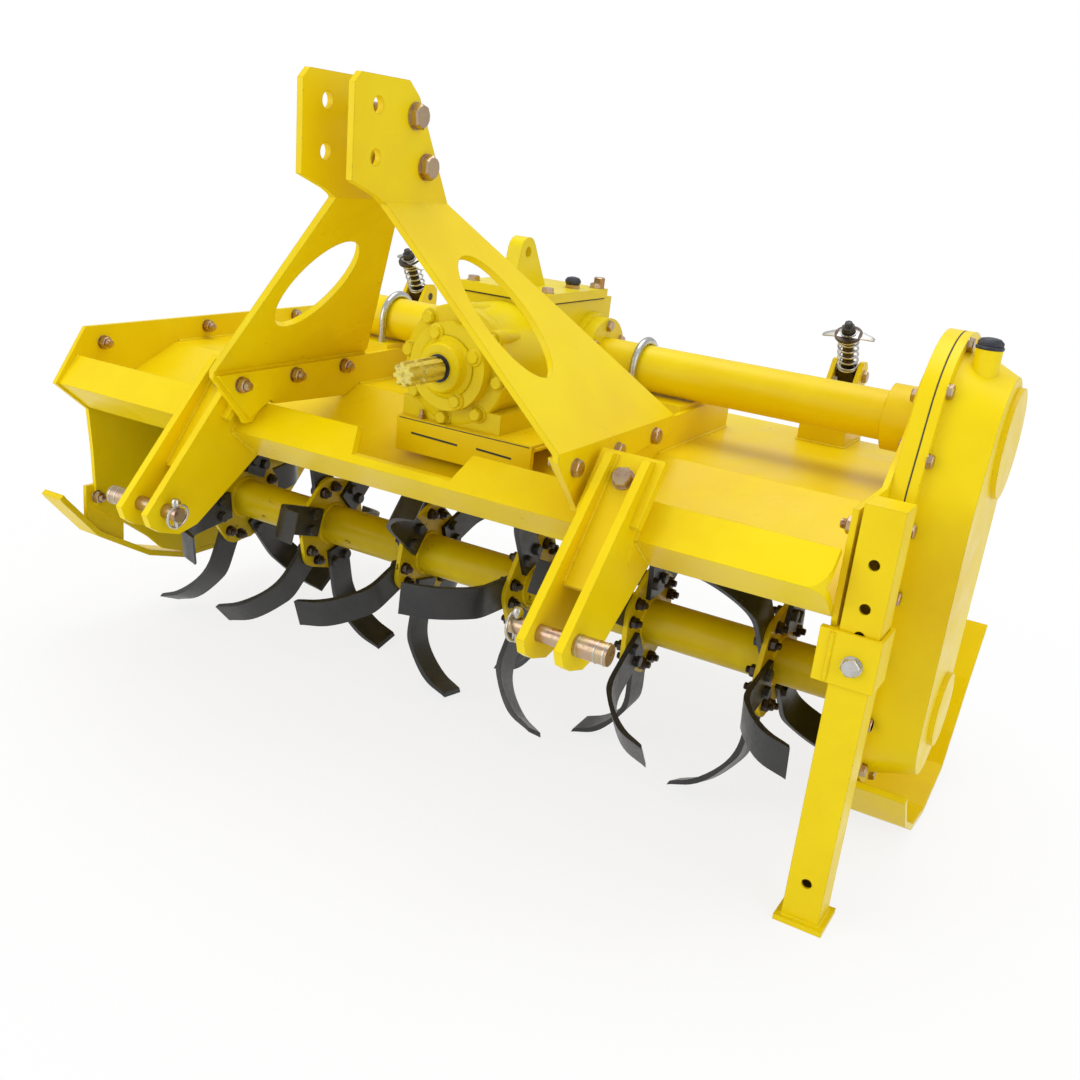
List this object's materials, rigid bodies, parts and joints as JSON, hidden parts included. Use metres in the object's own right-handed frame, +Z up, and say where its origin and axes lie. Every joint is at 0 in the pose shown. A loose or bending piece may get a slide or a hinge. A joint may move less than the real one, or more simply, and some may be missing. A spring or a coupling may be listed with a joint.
{
  "type": "rotary tiller",
  "caption": "Tractor-mounted rotary tiller with a mast and hitch clevises, a gearbox and side gear case, a rotor of curved blades, side skids, a stand leg and a sprung levelling board.",
  "frame": {"origin": "floor level under the middle of the whole machine as it stands parked on its stand leg and blade tips", "axes": "+X towards the side gear case, +Y to the rear (away from the tractor), +Z up"},
  "size_m": [1.484, 1.014, 0.99],
  "materials": {
    "yellow_paint": "gloss enamel over welded plate",
    "black_paint": "satin black paint on forged steel",
    "zinc": "yellow-passivated zinc plating",
    "dark_steel": "oiled black steel",
    "bright_steel": "bright plated spring wire",
    "gasket": "matt black sealing sheet"
  },
  "bodies": {
    "frame": {"hood": "yellow_paint", "front_beam": "yellow_paint", "side_plate_left": "yellow_paint", "side_plate_right": "yellow_paint", "gear_case_back": "yellow_paint", "gear_case_cover": "yellow_paint", "skid_left": "yellow_paint", "skid_right": "yellow_paint", "gearbox_base": "yellow_paint", "gearbox_housing": "yellow_paint", "gearbox_front_cover": "yellow_paint", "gearbox_top_cover": "yellow_paint", "side_cover_left": "yellow_paint", "side_cover_right": "yellow_paint", "axle_tube_left": "yellow_paint", "axle_tube_right": "yellow_paint", "mast_plate_left": "yellow_paint", "mast_plate_right": "yellow_paint", "rail_left": "yellow_paint", "rail_right": "yellow_paint", "tube_saddle_left": "yellow_paint", "tube_saddle_right": "yellow_paint", "hitch_clevis_left": "yellow_paint", "hitch_clevis_right": "yellow_paint", "leg_collar": "yellow_paint", "rod_bracket_left": "yellow_paint", "rod_bracket_right": "yellow_paint", "bearing_left": "yellow_paint", "hood_hinges": "yellow_paint", "mast_spacers": "zinc", "hitch_pin_left": "zinc", "hitch_pin_right": "zinc", "u_bolt_left": "zinc", "u_bolt_right": "zinc", "hinge_pins": "zinc", "gear_case_gasket": "gasket"},
    "rotor": {"rotor_tube": "yellow_paint", "rotor_flanges": "yellow_paint", "rotor_blades": "black_paint"},
    "input_shaft": {"pto_shaft": "yellow_paint"},
    "stand": {"stand_leg": "yellow_paint"},
    "board": {"levelling_board": "yellow_paint"},
    "swivels": {"rod_swivels": "dark_steel", "rod_springs": "bright_steel"},
    "rods": {"spring_rods": "dark_steel"}
  },
  "joints": [
    {"name": "rotor_spin", "type": "hinge", "parent": "frame", "child": "rotor", "pos_m": [-0.04, 0.015, 0.236], "axis": [1, 0, 0], "continuous": true},
    {"name": "input_shaft_spin", "type": "hinge", "parent": "frame", "child": "input_shaft", "pos_m": [0, -0.25, 0.619], "axis": [0, 1, 0], "continuous": true},
    {"name": "stand_slide", "type": "slide", "parent": "frame", "child": "stand", "axis": [0, 0, 1], "range_m": [0, 0.315]},
    {"name": "board_swing", "type": "hinge", "parent": "frame", "child": "board", "pos_m": [-0.0385, 0.432, 0.435], "axis": [1, 0, 0], "range_deg": [0, 35]},
    {"name": "rod_swing", "type": "hinge", "parent": "frame", "child": "swivels", "pos_m": [-0.0385, 0.33, 0.629], "axis": [1, 0, 0], "range_deg": [0, 10.13]},
    {"name": "rod_slide", "type": "slide", "parent": "swivels", "child": "rods", "axis": [0, 0.5211, -0.8535], "range_m": [-0.0205, 0]}
  ],
  "couplings": [
    {"joint": "rod_swing", "follows": "board_swing", "ratio": 0.28953},
    {"joint": "rod_slide", "follows": "board_swing", "m_per_rad": -0.033562},
    {"joint": "input_shaft_spin", "follows": "rotor_spin", "ratio": -2.6}
  ]
}
